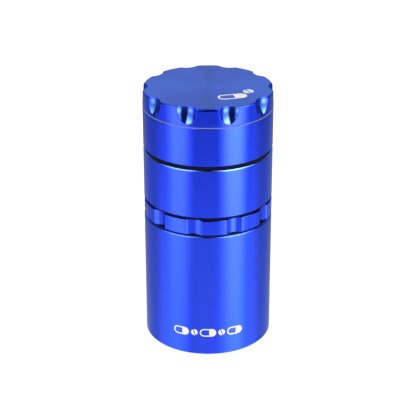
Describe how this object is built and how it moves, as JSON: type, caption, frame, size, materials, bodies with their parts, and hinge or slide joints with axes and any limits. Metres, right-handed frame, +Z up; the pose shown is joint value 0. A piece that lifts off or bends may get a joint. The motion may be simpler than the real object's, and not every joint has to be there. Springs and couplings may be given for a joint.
{
  "type": "pill crusher",
  "caption": "Upright cylindrical twist crusher for tablets: fluted lid over interlocking teeth, a sieve chamber, a scalloped powder tray and a storage jar, screwed together.",
  "frame": {"origin": "centre of the jar's foot, on the surface that it stands on", "axes": "+Z up along the common axis, from the jar's foot to the lid; +X to the right as the mark on the jar is read, +Y to the back"},
  "size_m": [0.056, 0.056, 0.1153],
  "materials": {
    "anodised_blue": "turned and anodised, glossy",
    "black_rubber": "moulded, satin",
    "glide_polymer": "smooth, low friction",
    "magnet_nickel": "nickel plated",
    "sieve_steel": "plain"
  },
  "bodies": {
    "jar": {"storage_jar": "anodised_blue"},
    "jar_seal": {"jar_o_ring": "black_rubber"},
    "powder_tray": {"powder_tray": "anodised_blue"},
    "chamber_seal": {"chamber_o_ring": "black_rubber"},
    "chamber": {"chamber": "anodised_blue", "sieve_washer": "sieve_steel", "sieve_mesh": "sieve_steel", "sieve_snap_ring": "sieve_steel"},
    "tray_seal": {"tray_o_ring": "black_rubber"},
    "grinding_tray": {"grinding_tray": "anodised_blue", "tray_magnet": "magnet_nickel"},
    "glide_ring": {"glide_ring": "glide_polymer"},
    "lid": {"lid": "anodised_blue", "lid_magnet": "magnet_nickel"}
  },
  "joints": [
    {"name": "powder_tray_rise", "type": "slide", "parent": "jar", "child": "jar_seal", "axis": [0, 0, 1], "range_m": [0, 0.0038]},
    {"name": "powder_tray_unscrew", "type": "hinge", "parent": "jar_seal", "child": "powder_tray", "pos_m": [0, 0, 0.0583], "axis": [0, 0, 1], "range_deg": [0, 900]},
    {"name": "chamber_rise", "type": "slide", "parent": "powder_tray", "child": "chamber_seal", "axis": [0, 0, 1], "range_m": [0, 0.0038]},
    {"name": "chamber_unscrew", "type": "hinge", "parent": "chamber_seal", "child": "chamber", "pos_m": [0, 0, 0.0664], "axis": [0, 0, 1], "range_deg": [0, 900]},
    {"name": "grinding_tray_rise", "type": "slide", "parent": "chamber", "child": "tray_seal", "axis": [0, 0, 1], "range_m": [0, 0.0038]},
    {"name": "grinding_tray_unscrew", "type": "hinge", "parent": "tray_seal", "child": "grinding_tray", "pos_m": [0, 0, 0.0899], "axis": [0, 0, 1], "range_deg": [0, 900]},
    {"name": "lid_lift", "type": "slide", "parent": "grinding_tray", "child": "glide_ring", "axis": [0, 0, 1], "range_m": [0, 0.035]},
    {"name": "lid_turn", "type": "hinge", "parent": "glide_ring", "child": "lid", "pos_m": [0, 0, 0.1073], "axis": [0, 0, 1], "continuous": true}
  ],
  "couplings": [
    {"joint": "powder_tray_rise", "follows": "powder_tray_unscrew", "m_per_rad": 0.00023873},
    {"joint": "chamber_rise", "follows": "chamber_unscrew", "m_per_rad": 0.00023873},
    {"joint": "grinding_tray_rise", "follows": "grinding_tray_unscrew", "m_per_rad": 0.00023873}
  ]
}
